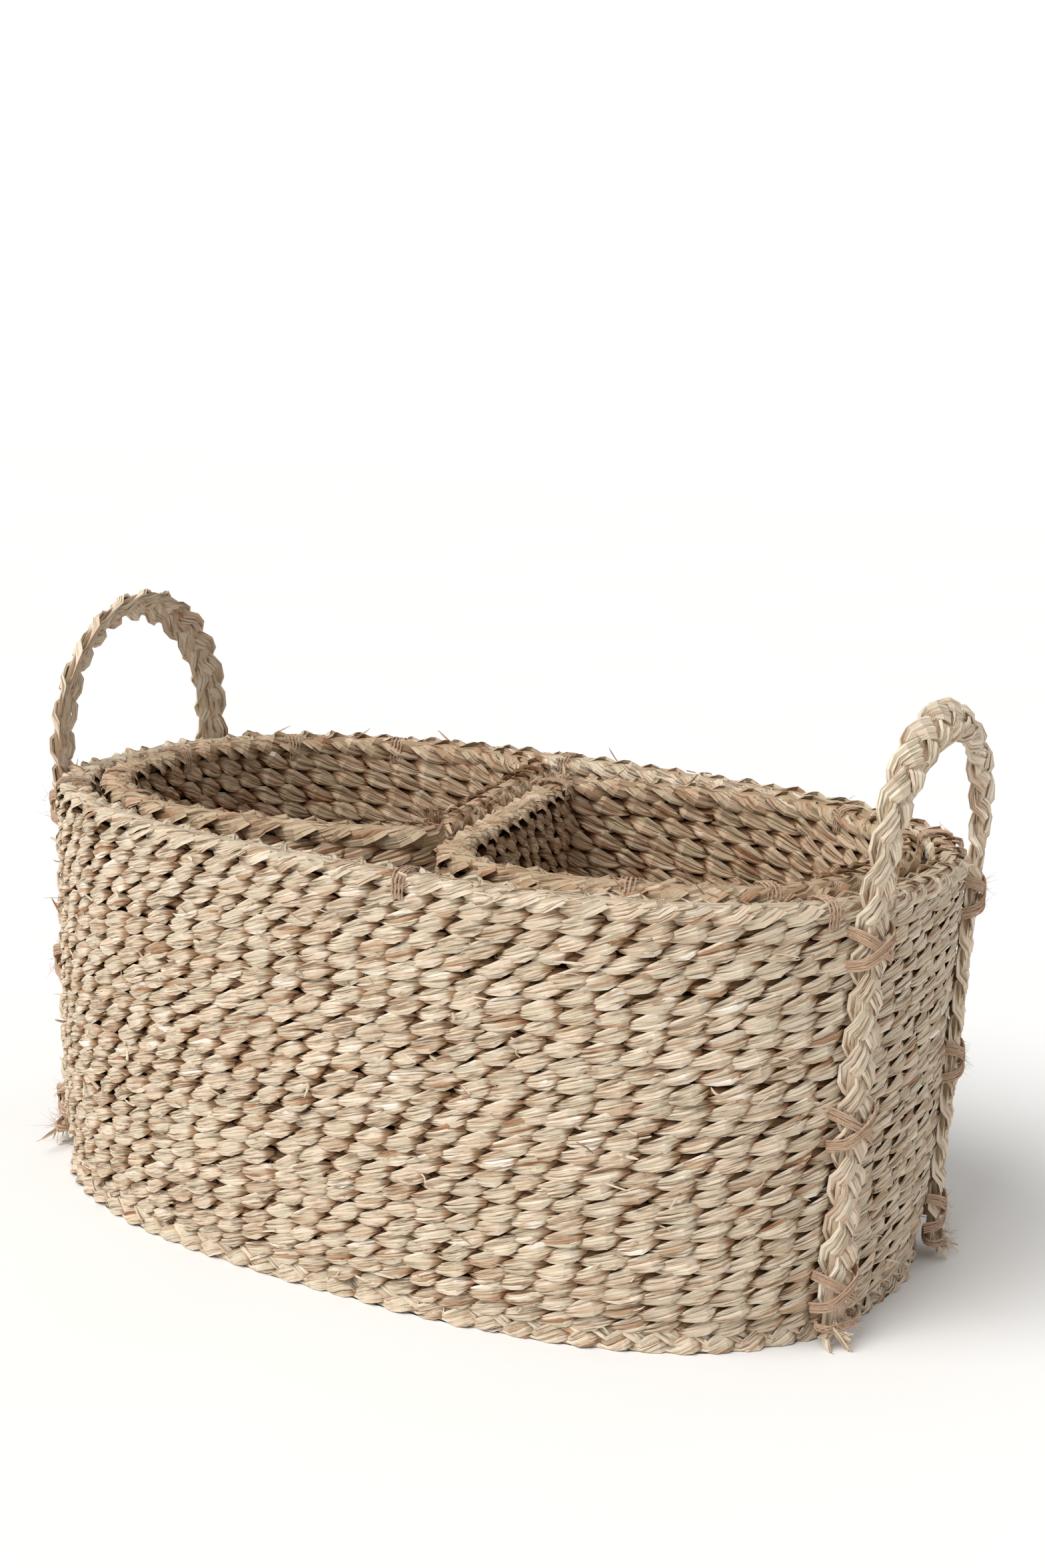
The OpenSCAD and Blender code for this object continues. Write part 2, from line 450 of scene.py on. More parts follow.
# A flat plait shows its broad face: each strand comes out from under, creases at the edge and goes over.
FLAT = np.array([
    (0, 0.00, 0.00, 90, 1.00, 0.50),
    (28, 0.40, -0.82, 90, 1.06, 0.74),
    (58, 0.82, -0.72, 78, 1.00, 0.84),
    (88, 1.00, 0.05, 52, 0.94, 0.86),
    (114, 0.82, 0.75, 76, 1.02, 0.88),
    (150, 0.38, 0.88, 90, 1.08, 0.78),
])

# Across one blade: the edges are thin and the ridge lies off the middle.
PROFILE = np.array([(1, 0), (0.3, 1), (-1, 0), (-0.3, -1)])

# How loosely a strand and its blades lie, as the spread of each random change.
STRAND_SHIFT = 1.6  # mm along the plait
STRAND_SWELL = 0.06  # share of its reach
STRAND_LIFT = 0.5  # mm
STRAND_ROLL = 6.0  # degrees
BLADE_SHIFT = 0.9  # mm along the plait
BLADE_REACH = 0.22  # mm
BLADE_ROLL = 6.0  # degrees
BLADE_SWELL = 0.08  # share of its fullness
BLADE_LIFT = 0.2  # mm

BLADE_SPACING = 0.72  # of a blade's width, from one blade's middle to the next
BLADE_STAGGER = 0.5  # mm along the plait from one blade to the next
SECOND_PROUD = 0.22  # of a blade's thickness, by which every second blade lies higher
OUTER_DROP = 0.06  # mm, times the square of a blade's place from the middle
CUT_SHARE = 0.4  # of a blade's section left at a cut end

# The filling: a tube hidden inside a plait and painted in shade, which fills the gaps between its strands with
# darkness.
SHADE_CORE_SIDES = 6
SHADE_CORE_RINGS = 4  # to a turn
SHADE_CORE_WIDTH = 0.7  # of the plait's width
SHADE_CORE_NUMBER = 777.0  # its blade number


class Plait:
    """The make-up of a three-strand plait. Lengths are in millimetres."""

    def __init__(self, table, width, height, reach, rise, turn, blades, blade_w, blade_t, rough=1.0):
        self.table = table
        self.flat = table is FLAT
        self.half = width / 2, height / 2
        self.reach = reach
        self.rise = rise
        self.turn = turn
        self.blades = blades
        self.blade_w = blade_w
        self.blade_t = blade_t
        self.rough = rough


def plait_tubes(plait, route, length, rng, closed=True, start=0.0, tilt=0.0, core=0.0):
    """The blades of a plait along a route, whose length is in metres.

    tilt turns the plait about its route. core is its filling's share of its height; the filling is a hidden
    tube painted in shade.
    """
    turns = max(3, round(length / MM / plait.turn))
    pitch = length / turns
    half = plait.table
    degrees = np.concatenate([half[:, 0], half[:, 0] + 180])
    sign = np.repeat([1.0, -1.0], len(half))
    turned_over = np.array([0, 0, 0, 180 if plait.flat else 0, 0, 0])
    other = half * np.array([1, 1, 1, -1, 1, 1]) + turned_over
    both = np.concatenate([half, other])
    rings = turns * len(degrees)
    rough = plait.rough
    tubes = []
    c, k = math.cos(tilt), math.sin(tilt)
    for strand in range(3):
        turn = np.repeat(np.arange(turns), len(degrees)) + np.tile(degrees, turns) / 360 + strand / 3
        s = (turn if closed else turn - 1 / 3) * pitch
        s = s + MM * wander(rng, rings, turns * 2, STRAND_SHIFT * rough)
        keep = slice(None) if closed else (s >= 0) & (s <= length)
        s = s[keep]
        table = np.tile(both, (turns, 1))[keep]
        side_sign = np.tile(sign, turns)[keep]
        count = len(s)
        loose = lambda knots, amount: wander(rng, rings, turns * knots, amount * rough)[keep]
        place, out, up = route(s, start)
        out, up = c * out + k * up, c * up - k * out
        along = np.cross(up, out)
        swell = 1.0 + loose(2, STRAND_SWELL)
        lift = loose(2, STRAND_LIFT)
        roll = loose(2, STRAND_ROLL)
        for blade in range(plait.blades):
            middle = blade - (plait.blades - 1) / 2
            own = BLADE_STAGGER * middle + loose(3, BLADE_SHIFT)
            reach = plait.reach * table[:, 1] * side_sign * swell + loose(3, BLADE_REACH)
            rise = plait.rise * table[:, 2] + lift
            facing = np.radians(table[:, 3] + roll + loose(3, BLADE_ROLL))
            full = table[:, 4] * (1.0 + loose(3, BLADE_SWELL))
            centre = place + MM * (reach[:, None] * out + rise[:, None] * up + own[:, None] * along)
            forward = tangents(centre, closed)
            normal = np.cos(facing)[:, None] * out + np.sin(facing)[:, None] * up
            normal = unit(normal - (normal * forward).sum(1, keepdims=True) * forward)
            wide = np.cross(normal, forward)
            shift = middle * BLADE_SPACING * plait.blade_w * full
            proud = SECOND_PROUD * plait.blade_t * (blade % 2) + loose(3, BLADE_LIFT) - OUTER_DROP * middle**2
            ends = np.ones(count)
            if not closed:
                ends[0] = ends[-1] = CUT_SHARE
            flip = 1 if rng.random() < 0.5 else -1
            x = shift[:, None] + (plait.blade_w / 2 * full * ends)[:, None] * PROFILE[::flip, 0] * flip
            y = proud[:, None] + (plait.blade_t / 2 * ends)[:, None] * PROFILE[::flip, 1] * flip
            points = centre[:, None] + MM * (x[..., None] * wide[:, None] + y[..., None] * normal[:, None])
            # Painted shade from the table's last column, with a small random step between a blade's two faces.
            painted_light = table[:, 5:6] + 0.05 * PROFILE[::flip, 1]
            number = float(rng.integers(1, 4000)) / 4
            run = np.repeat(s[:, None] / MM, x.shape[1], 1)
            lay = np.stack([x, run, np.full_like(x, number)], axis=2)
            tubes.append((points, lay, painted_light, closed))
    if core:
        count = turns * SHADE_CORE_RINGS
        s = np.linspace(0, length, count, endpoint=not closed)
        place, out, up = route(s, start)
        angle = np.arange(SHADE_CORE_SIDES) * 2 * math.pi / SHADE_CORE_SIDES
        wide, high = SHADE_CORE_WIDTH * plait.half[0], core * plait.half[1]
        ring = wide * np.cos(angle)[:, None] * out[:, None] + high * np.sin(angle)[:, None] * up[:, None]
        lay = np.stack(np.broadcast_arrays(4.0 * angle[None, :], s[:, None] / MM, SHADE_CORE_NUMBER), axis=2)
        # The filling is painted in shade, darker in an edgewise plait.
        painted_light = np.full((count, SHADE_CORE_SIDES), 0.4 if plait.table is EDGEWISE else 0.6)
        tubes.append((place[:, None] + MM * ring, lay, painted_light, closed))
    return tubes


# ---- basket ------------------------------------------------------------------------

WALL = 20 * MM
INSERT_HALF_WALL = 9 * MM
FOOT_TUCK = 8.0  # mm the foot course is drawn in
TUCK_FADE = 0.56  # each course above it is drawn in by this share of the one below
FOOT_TILT = -58  # degrees the foot course leans under the wall
FOOT_LIFT = 2 * MM
BASE_CORE, BASE_RINGS, BASE_EDGE = 100 * MM, 8, 0.68
INSERT_CORE, INSERT_RINGS = 30 * MM, 6
COURSE_SHADE_FILL, RIM_SHADE_FILL = 0.8, 0.85  # a filling's share of its plait's height; each filling is a hidden tube painted in shade

COURSE_PLAIT = Plait(
    EDGEWISE, width=21, height=10.0, reach=9.4, rise=3.4, turn=56, blades=4, blade_w=3.2, blade_t=1.2)
RIM_PLAIT = Plait(
    RIM, width=21, height=10.0, reach=9.4, rise=2.8, turn=54, blades=4, blade_w=3.3, blade_t=1.4)
FOOT_PLAIT = Plait(
    FLAT, width=20, height=9, reach=6.0, rise=2.4, turn=54, blades=4, blade_w=3.6, blade_t=1.4)
INSERT_PLAIT = Plait(
    EDGEWISE, width=18.8, height=11.4, reach=8.4, rise=3.9, turn=59, blades=3, blade_w=4.4, blade_t=1.5)
INSERT_RIM_PLAIT = Plait(
    RIM, width=18.8, height=11.4, reach=8.4, rise=3.1, turn=56, blades=3, blade_w=4.7, blade_t=1.5)
MAT_PLAIT = Plait(
    FLAT, width=21, height=9, reach=6.6, rise=2.4, turn=74, blades=3, blade_w=5.2, blade_t=1.5)
HANDLE_PLAIT = Plait(
    FLAT, width=27, height=12, reach=7.9, rise=3.7, turn=62, blades=4, blade_w=3.95, blade_t=2.2, rough=0.7)

WALL_TONES = [
    (0.03, "#9a6d49"), (0.14, "#b59272"), (0.28, "#c6b095"), (0.42, "#d9c8b1"), (0.55, "#c8bca3"),
    (0.68, "#e4d5c0"), (0.82, "#d6bda2"), (0.96, "#f2e9da")]
# The wall's seagrass with darker, browner tones, as painted shade for the inserts, which sit inside the basket.
INSERT_TONES_PAINTED_SHADE = [
    (0.03, "#8b5f41"), (0.14, "#a47e5f"), (0.28, "#b39577"), (0.42, "#c1a88b"), (0.55, "#b7a588"),
    (0.68, "#ccb599"), (0.82, "#c4a184"), (0.96, "#dccdb6")]
HANDLE_TONES = [
    (0.03, "#b49278"), (0.14, "#cbb096"), (0.28, "#d8c3ab"), (0.42, "#e4d4bd"), (0.55, "#dacfb6"),
    (0.68, "#ecdec9"), (0.82, "#e6cfb7"), (0.96, "#f5ecdd")]

wall_grass = seagrass("dried_seagrass_plaited", WALL_TONES, "#83684e", 0.62)
# The inserts' material is a copy of the wall's seagrass, darkened as painted shade, with a darker shade colour
# too.
insert_grass = seagrass("dried_seagrass_plaited_painted_shade", INSERT_TONES_PAINTED_SHADE, "#6f543c", 0.66)
handle_grass = seagrass("dried_seagrass_braided_satin", HANDLE_TONES, "#7a5f45", 0.55)
jute = jute_twine()


def settle(piece, body, slot, *nodes):
    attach(piece, body)
    if nodes:
        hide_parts(*nodes)
    return piece


def middle_z(node):
    low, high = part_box(node)
    return (low.z + high.z) / 2


BLADE_BEND = 0.3
# Loose blades get only a little painted shade.
LOOSE_BLADE_PAINTED_LIGHT = 0.9


def blade_tubes(roots, ways, lengths, width, rng):
    """Single loose blades that stand out from their roots. Lengths and width are in millimetres."""
    tubes = []
    taper = np.array([1, 1, 0.95, 0.8, 0.3])
    t = np.linspace(0, 1, 5)[:, None]
    for root, way, length in zip(roots, ways, lengths):
        line = root + MM * length * (t * unit(way) + t**2 * rng.normal(0, BLADE_BEND, 3))
        forward = tangents(line, False)
        wide = unit(np.cross(forward, unit(rng.normal(0, 1, 3))))
        normal = np.cross(wide, forward)
        x = (width * rng.uniform(0.5, 1.1) / 2 * taper)[:, None] * PROFILE[:, 0]
        y = (0.35 * taper)[:, None] * PROFILE[:, 1]
        points = line[:, None] + MM * (x[..., None] * wide[:, None] + y[..., None] * normal[:, None])
        along = np.repeat(t * length, len(PROFILE), 1)
        lay = np.stack([x, along, np.full_like(x, rng.integers(1, 4000) / 4)], axis=2)
        tubes.append((points, lay, np.full(x.shape, LOOSE_BLADE_PAINTED_LIGHT), False))
    return tubes


def stray_tubes(loop, count, plait, rng, upward):
    """Loose blade ends that have worked out of a course."""
    place, out, up = loop.at(rng.uniform(0, loop.length, count))
    along = np.cross(up, out)
    spin = rng.choice([-1, 1], (count, 1))
    roots = place + MM * (out * (plait.half[0] - 1.2) + up * rng.uniform(-4.5, 4.5, (count, 1)))
    ways = spin * along + out * rng.uniform(0.1, 0.5, (count, 1))
    ways = ways + up * rng.normal(upward, 0.3, (count, 1))
    return blade_tubes(roots, ways, rng.uniform(5, 11, count), 1.9, rng)


def make_courses():
    turns = [node for node in sorted(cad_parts) if node.startswith("outer_course_")]
    names = ["outer_foot_course", *turns, "outer_rim_course"]
    for number, node in enumerate(names):
        rng = np.random.default_rng(100 + number)
        z = middle_z(node)
        if number == 0:
            loop = loop_of(node, z + FOOT_LIFT, FOOT_TUCK * MM)
            tubes = plait_tubes(FOOT_PLAIT, loop.at, loop.length, rng, tilt=math.radians(FOOT_TILT))
        else:
            top = number == len(names) - 1
            tuck = FOOT_TUCK * TUCK_FADE**number
            loop = loop_of(node, z, WALL / 2 + tuck * MM)
            plait, fill = (RIM_PLAIT, RIM_SHADE_FILL) if top else (COURSE_PLAIT, COURSE_SHADE_FILL)
            tubes = plait_tubes(plait, loop.at, loop.length, rng, start=rng.random(), core=fill)
            tubes += stray_tubes(loop, 60 if top else 24, plait, rng, 0.3 if top else 0.1)
        settle(tubes_object(node + "_plait", tubes, wall_grass), "outer_basket", "seagrass_wall", node)


def mat_tubes(outline, z, core, rings, plait, rng, turned=False, edge=0.5):
    """A flat mat: a plait laid round and round a straight core, out to the outline.

    The last ring's middle is 1 - edge of a ring short of it.
    """
    points = spread(outline, LOOP_POINTS)
    middle = (points.max(0) + points.min(0)) / 2
    axis = 1 if turned else 0
    centre = np.tile(middle, (LOOP_POINTS, 1))
    centre[:, axis] += np.clip(points[:, axis] - middle[axis], -core, core)
    tubes = []
    for ring in range(rings):
        share = (ring + edge) / rings
        loop = Loop(smooth_loop(centre + share * (points - centre), MAT_SMOOTHING), z)
        tubes += plait_tubes(plait, loop.at, loop.length, rng, start=rng.random())
    return tubes


def make_base():
    rng = np.random.default_rng(60)
    outline, z = outline_of("outer_base"), middle_z("outer_base")
    tubes = mat_tubes(outline, z, BASE_CORE, BASE_RINGS, MAT_PLAIT, rng, edge=BASE_EDGE)
    settle(tubes_object("outer_base_mat", tubes, wall_grass), "outer_basket", "seagrass_wall", "outer_base")


def make_insert(end):
    node = end + "_insert_"
    body = end + "_insert"
    rng = np.random.default_rng(300 + ENDS.index(end))
    outline, z = outline_of(node + "base"), middle_z(node + "base")
    tubes = mat_tubes(outline, z, INSERT_CORE, INSERT_RINGS, MAT_PLAIT, rng, turned=True)
    settle(tubes_object(node + "base_mat", tubes, insert_grass), body, "seagrass_insert", node + "base")

    low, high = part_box(node + "wall")
    rim_low, rim_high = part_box(node + "rim")
    course = rim_high.z - rim_low.z
    turns = round((high.z - low.z) / course)
    line = loop_of(node + "rim", 0.0, INSERT_HALF_WALL)
    thirds = ("low", "middle", "high")
    for part, name in enumerate(thirds):
        tubes = []
        for turn in range(turns * part // 3, turns * (part + 1) // 3):
            loop = Loop(line.points, low.z + (turn + 0.5) * course)
            start = rng.random()
            tubes += plait_tubes(INSERT_PLAIT, loop.at, loop.length, rng, start=start, core=COURSE_SHADE_FILL)
        piece = tubes_object(node + "wall_" + name, tubes, insert_grass)
        settle(piece, body, "seagrass_insert", *([node + "wall"] if part == 0 else []))
    loop = Loop(line.points, (rim_low.z + rim_high.z) / 2)
    start = rng.random()
    tubes = plait_tubes(INSERT_RIM_PLAIT, loop.at, loop.length, rng, start=start, core=RIM_SHADE_FILL)
    tubes += stray_tubes(loop, 40, INSERT_RIM_PLAIT, rng, 0.5)
    settle(tubes_object(node + "rim_plait", tubes, insert_grass), body, "seagrass_insert", node + "rim")


# ---- handles -------------------------------------------------------------------------

BRAID_W = 28 * MM
BRAID_T = 11 * MM
LEG_FOOT = 9 * MM  # the height at which the braid starts and ends
LEG_SNUG = 2 * MM  # the legs press into the wall by this much
HANDLE_SHADE_FILL = 0.5  # its filling's share of the braid's height; the filling is a hidden tube painted in shade
LOOP_RISE = {"left": 1.10, "right": 0.98}  # each arch's height over its half span
LOOP_TWIST = 40  # degrees its broad face turns from the end towards the outside of the arch
LOOP_BACK = {"left": 1.0, "right": -0.6}  # how each arch's back half shares the front half's turn
ROUTE_STEPS = 40  # along each leg and along the arch
ROUTE_SMOOTHING = 30


def leg_frame(end, leg, z):
    """The middle of a leg at height z, the direction across it and the direction out of the wall."""
    low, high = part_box(end + "_handle_loop")
    sign = -1 if leg == "front" else 1
    top = np.array([(low.x + high.x) / 2, sign * (high.y - BRAID_W / 2), low.z + BRAID_T / 2])
    rim = loop_of("outer_rim_course", 0.0, 0.0)
    nearest = np.argmin(np.linalg.norm(rim.points - top[:2], axis=1))
    out = np.append(rim.normals[nearest], 0.0)
    foot_high, rim_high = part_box("outer_foot_course")[1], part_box("outer_rim_course")[1]
    taper = (rim_high.x - foot_high.x) / (rim_high.z - foot_high.z) / rim_high.x
    shrink = 1 - taper * (top[2] - z)
    place = np.array([top[0] * shrink, top[1] * shrink, z])
    return place, unit(np.cross(UP, out)), out


def handle_route(end):
    """Places along a handle from the front leg's foot, over the loop, to the back leg's foot."""
    fold = leg_frame(end, "front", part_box(end + "_handle_loop")[0].z + BRAID_T / 2)[0]
    radius, climb = abs(fold[1]), fold[2] - LEG_FOOT
    side = 1 if end == "right" else -1
    twist = math.radians(LOOP_TWIST)
    places, outs = [], []

    def follow_leg(leg, heights):
        for z in heights:
            place, _, out = leg_frame(end, leg, z)
            places.append(place - LEG_SNUG * out)
            outs.append(out)

    follow_leg("front", [LEG_FOOT + climb * i / ROUTE_STEPS for i in range(ROUTE_STEPS)])
    for i in range(ROUTE_STEPS + 1):
        turn = math.pi * i / ROUTE_STEPS
        arch = LOOP_RISE[end] * radius * math.sin(turn)
        places.append([fold[0], -radius * math.cos(turn), fold[2] + arch])
        lean = twist * math.sin(turn)
        sway = math.cos(turn) * (1 if turn < math.pi / 2 else LOOP_BACK[end])
        outs.append([side * math.cos(lean), -math.sin(lean) * sway, math.sin(lean) * math.sin(turn)])
    follow_leg("back", [fold[2] - climb * (i + 1) / ROUTE_STEPS for i in range(ROUTE_STEPS)])
    places, outs = np.array(places, float), np.array(outs, float)
    for _ in range(ROUTE_SMOOTHING):
        outs[1:-1] = (outs[:-2] + 2 * outs[1:-1] + outs[2:]) / 4
        places[1:-1] = places[1:-1] * 0.9 + (places[:-2] + places[2:]) * 0.05
    run = np.append(0, np.cumsum(np.linalg.norm(np.diff(places, axis=0), axis=1)))

    def at(s, start):
        place = np.stack([np.interp(s, run, places[:, i]) for i in range(3)], axis=1)
        out = unit(np.stack([np.interp(s, run, outs[:, i]) for i in range(3)], axis=1))
        forward = tangents(place, False)
        out = unit(out - (out * forward).sum(1, keepdims=True) * forward)
        return place, np.cross(forward, out), out

    return at, run[-1]


def make_handle(end):
    rng = np.random.default_rng(500 + ENDS.index(end))
    route, length = handle_route(end)
    tubes = plait_tubes(HANDLE_PLAIT, route, length, rng, closed=False, core=HANDLE_SHADE_FILL)
    piece = tubes_object(end + "_handle_braid", tubes, handle_grass)
    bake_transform(piece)
    legs = [end + "_handle_" + leg + "_leg" for leg in LEGS]
    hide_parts(end + "_handle_loop", *legs)


# ---- jute ------------------------------------------------------------------------------


TWINE_LAY = 9.0  # mm in which two plies go once round each other
PLY_OFFSET, PLY_RADIUS = 0.5, 0.62  # shares of the twine's radius


def twine_tubes(points, radius, rng, plies=2, step=1.2, sides=5, taper=0.0):
    """Plied twine along points. radius and step are in millimetres."""
    points = np.array(points, float)
    run = np.append(0, np.cumsum(np.linalg.norm(np.diff(points, axis=0), axis=1)))
    count = max(6, int(run[-1] / MM / step))
    s = np.linspace(0, run[-1], count)
    line = np.stack([np.interp(s, run, points[:, i]) for i in range(3)], axis=1)
    for _ in range(4):
        line[1:-1] = (line[:-2] + 2 * line[1:-1] + line[2:]) / 4
    forward = tangents(line, False)
    side = unit(np.cross(forward, unit(forward[:1] + np.array([[0.31, 0.17, 0.93]]))))
    other = np.cross(forward, side)
    tubes = []
    angle = np.arange(sides) * 2 * math.pi / sides
    for ply in range(plies):
        turn = 2 * math.pi * (s / MM / TWINE_LAY + ply / plies)
        off = PLY_OFFSET * radius if plies > 1 else 0.0
        centre = line + MM * off * (np.cos(turn)[:, None] * side + np.sin(turn)[:, None] * other)
        thick = (PLY_RADIUS if plies > 1 else 1.0) * radius * (1 + wander(rng, count, max(4, count // 3), 0.12))
        if taper:
            thick = thick * np.linspace(1, 1 - taper, count)
        ring = np.cos(angle)[None, :, None] * side[:, None] + np.sin(angle)[None, :, None] * other[:, None]
        place = centre[:, None] + MM * thick[:, None, None] * ring
        around = np.tile(angle * radius, (count, 1)) + (turn * radius)[:, None]
        along = np.repeat(s[:, None] / MM, sides, 1)
        lay = np.stack([around, along, np.full((count, sides), rng.random() * 900)], 2)
        tubes.append((place, lay, np.ones((count, sides)), False))
    return tubes


def hair_tubes(roots, directions, length, radius, rng):
    """Loose hairs that stand out from their roots and curl."""
    tubes = []
    for root, direction in zip(roots, directions):
        reach = length * rng.uniform(0.4, 1.3) * MM
        bend = rng.normal(0, 0.45, 3)
        t = np.linspace(0, 1, 5)[:, None]
        line = root + reach * (t * unit(direction) + t**2 * bend * 0.6)
        tubes += twine_tubes(line, radius, rng, plies=1, step=reach / MM / 4, sides=3, taper=0.8)
    return tubes


def band_tubes(line, width, yarns, rng, wide):
    """A flat, frayed band of yarns side by side. wide is the direction across it."""
    tubes = []
    forward = tangents(line, False)
    across = unit(wide - (forward * wide).sum(1, keepdims=True) * forward)
    lift = np.cross(across, forward)
    for yarn in range(yarns):
        off = (yarn / (yarns - 1) - 0.5) * width + wander(rng, len(line), 5, 0.35)
        high = wander(rng, len(line), 6, 0.3)
        own = line + MM * (off[:, None] * across + high[:, None] * lift)
        tubes += twine_tubes(own, rng.uniform(0.55, 0.85), rng, plies=1, step=1.6, sides=4)
    return tubes


LASHING_RISE = 9.5  # mm a diagonal climbs from the leg's middle to its edge
LASHING_ROOT = 7  # mm its ends go into the wall
LASHING_OVER = 0.9  # mm the upper diagonal lies over the lower one
LASHING_WIDTH, LASHING_YARNS = 5.2, 6


def lashing_tubes(place, across, out, rng):
    """A crossed lashing over a leg: each diagonal goes out of the wall, over the braid and back."""
    tubes = []
    u = np.linspace(-1, 1, 25)
    half_w, proud = BRAID_W / 2 / MM + 1.0, BRAID_T / 2 / MM - 0.8
    for slope in (-1, 1):
        rise = slope * LASHING_RISE * u
        swell = proud + LASHING_ROOT + LASHING_OVER * (slope > 0)
        bulge = -LASHING_ROOT + swell * (1 - np.abs(u) ** 4) ** 0.8
        line = place + MM * (half_w * u[:, None] * across + bulge[:, None] * out + rise[:, None] * UP)
        tubes += band_tubes(line, LASHING_WIDTH, LASHING_YARNS, rng, UP)
    spots = rng.uniform(-15, 15, (40, 1)) * across + (proud + 0.5) * out + rng.uniform(-8, 8, (40, 1)) * UP
    roots = place + MM * spots
    ways = 0.6 * out + rng.normal(0, 0.9, (40, 3))
    return tubes + hair_tubes(roots, ways, 6, 0.12, rng)


WOUND_RADIUS = 0.9


def wound_tubes(middle, a, b, along, half_a, half_b, pitch, turns, rng):
    """Twine wound round an oval that lies along a and b, and moves on along the third direction."""
    angle = np.linspace(0, 2 * math.pi * turns, int(turns * 22))
    run = (angle / (2 * math.pi) - turns / 2) * pitch + wander(rng, len(angle), turns * 3, 0.3)
    x = half_a * np.sign(np.cos(angle)) * np.abs(np.cos(angle)) ** 0.7
    y = half_b * np.sign(np.sin(angle)) * np.abs(np.sin(angle)) ** 0.7
    line = middle + MM * (x[:, None] * a + y[:, None] * b + run[:, None] * along)
    return twine_tubes(line, WOUND_RADIUS, rng)


def make_leg_jute(end, leg):
    for height in ("bottom", "middle", "top"):
        node = "_".join((end, leg, height, "lashing"))
        rng = np.random.default_rng(sum(ord(c) for c in node))
        place, across, out = leg_frame(end, leg, middle_z(node))
        piece = tubes_object(node + "_twine", lashing_tubes(place, across, out, rng), jute, TWINE_CREASE)
        settle(piece, "outer_basket", "jute", node)
    node = "_".join((end, leg, "end_knot"))
    rng = np.random.default_rng(sum(ord(c) for c in node))
    place, across, out = leg_frame(end, leg, middle_z(node))
    tubes = wound_tubes(place, across, out, UP, 14.5, 5.9, 1.7, 3, rng)
    spots = rng.uniform(-9, 9, (34, 1)) * across + 7 * out + rng.uniform(-3, 3, (34, 1)) * UP
    roots = place + MM * spots
    tubes += hair_tubes(roots, out + rng.normal(0, 0.8, (34, 3)), 10, 0.15, rng)
    settle(tubes_object(node + "_twine", tubes, jute, TWINE_CREASE), "outer_basket", "jute", node)
    # The braid's cut end below its knot
    roots = place + MM * (rng.uniform(-9, 9, (16, 1)) * across + rng.uniform(0, 5, (16, 1)) * out)
    ways = -0.8 * UP + out * rng.uniform(0, 0.9, (16, 1)) + across * rng.normal(0, 0.5, (16, 1))
    tubes = blade_tubes(roots, ways, rng.uniform(9, 17, 16), 4.2, rng)
    settle(tubes_object(node + "_cut_blades", tubes, handle_grass), "outer_basket", "seagrass_handle")


def straps_of(node):
    """The middle of each separate strap of a node."""
    bm = bmesh.new()
    bm.from_mesh(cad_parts[node].data)
    bm.verts.ensure_lookup_table()
    left = set(bm.verts)
    middles = []
    while left:
        strap, edge = set(), [left.pop()]
        while edge:
            vert = edge.pop()
            strap.add(vert)
            for link in vert.link_edges:
                other = link.other_vert(vert)
                if other in left:
                    left.discard(other)
                    edge.append(other)
        places = np.array([v.co for v in strap])
        middles.append((places.min(0) + places.max(0)) / 2)
    bm.free()
    return middles


def nearest_frame(loop, place):
    nearest = np.argmin(np.linalg.norm(loop.points - place[:2], axis=1))
    out = np.append(loop.normals[nearest], 0.0)
    return np.append(loop.points[nearest], loop.z), np.cross(UP, out), out


STITCH_RADIUS = 0.55


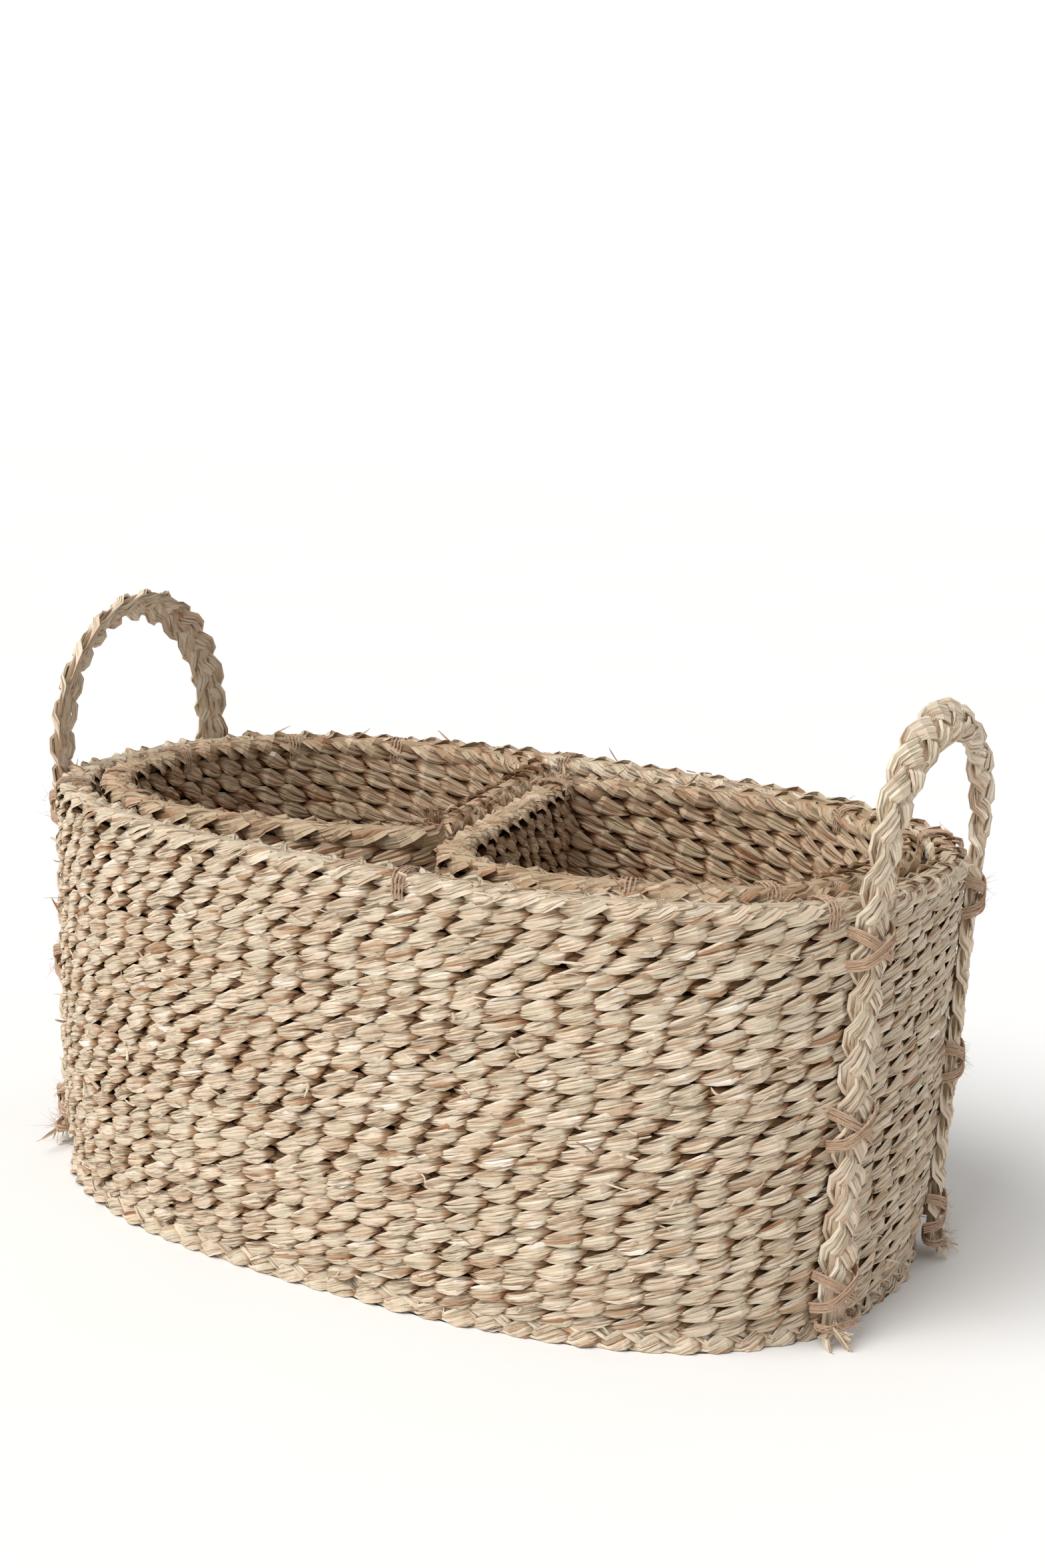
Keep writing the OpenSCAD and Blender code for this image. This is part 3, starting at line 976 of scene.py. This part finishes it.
def make_stitches(node, loop, half_w, body):
    """Thin twine over the top course, which holds its loose end down."""
    rng = np.random.default_rng(len(node) * 7)
    over = np.array([(1, -9), (1.04, -3), (1, 2.5), (0.78, 5.0), (0.4, 5.9), (0, 6.1),
                     (-0.4, 5.9), (-0.78, 5.0), (-1, 2.5), (-1.04, -3), (-1, -9)])
    tubes = []
    for strap in straps_of(node):
        place, along, out = nearest_frame(loop, strap)
        for lean in (-1.0, 1.0):
            run = lean * (1.1 + 0.15 * over[:, 1:2] / 3)
            line = place + MM * (over[:, :1] * half_w * out + over[:, 1:2] * UP + run * along)
            tubes += twine_tubes(line, STITCH_RADIUS, rng)
    settle(tubes_object(node + "_twine", tubes, jute, TWINE_CREASE), body, "jute", node)


def make_whipping(end, loop):
    """Twine wound round an insert's rim where its plait ends, with the plait's frayed end beside it."""
    node, body = end + "_insert_whipping", end + "_insert"
    rng = np.random.default_rng(700 + ENDS.index(end))
    place, along, out = nearest_frame(loop, straps_of(node)[0])
    tubes = wound_tubes(place, out, UP, along, 10.4, 7.0, 1.8, 5, rng)
    roots = place + MM * (rng.uniform(-8, 8, (40, 1)) * out + 6.6 * UP + rng.uniform(-5, 5, (40, 1)) * along)
    tubes += hair_tubes(roots, UP + rng.normal(0, 0.9, (40, 3)), 9, 0.14, rng)
    settle(tubes_object(node + "_twine", tubes, jute, TWINE_CREASE), body, "jute", node)
    count = 26
    side = along if along[1] * place[1] > 0 else -along
    roots = place + MM * (rng.uniform(-7, 7, (count, 1)) * out + rng.uniform(-1, 6, (count, 1)) * UP + 3 * side)
    ways = side + UP * rng.uniform(0, 0.6, (count, 1)) + rng.normal(0, 0.35, (count, 3))
    tubes = blade_tubes(roots, ways, rng.uniform(8, 19, count), 3.2, rng)
    settle(tubes_object(end + "_insert_rim_end", tubes, insert_grass), body, "seagrass_insert")


def make_jute():
    for end in ENDS:
        for leg in LEGS:
            make_leg_jute(end, leg)
        node = end + "_insert_rim"
        loop = loop_of(node, middle_z(node), INSERT_HALF_WALL)
        make_stitches(end + "_insert_stitches", loop, 9.2, end + "_insert")
        make_whipping(end, loop)
    loop = loop_of("outer_rim_course", middle_z("outer_rim_course"), WALL / 2)
    make_stitches("outer_rim_stitches", loop, 10.4, "outer_basket")


place_camera()
light_studio()
make_courses()
make_base()
for end in ENDS:
    make_insert(end)
    make_handle(end)
make_jute()
lay_floor()
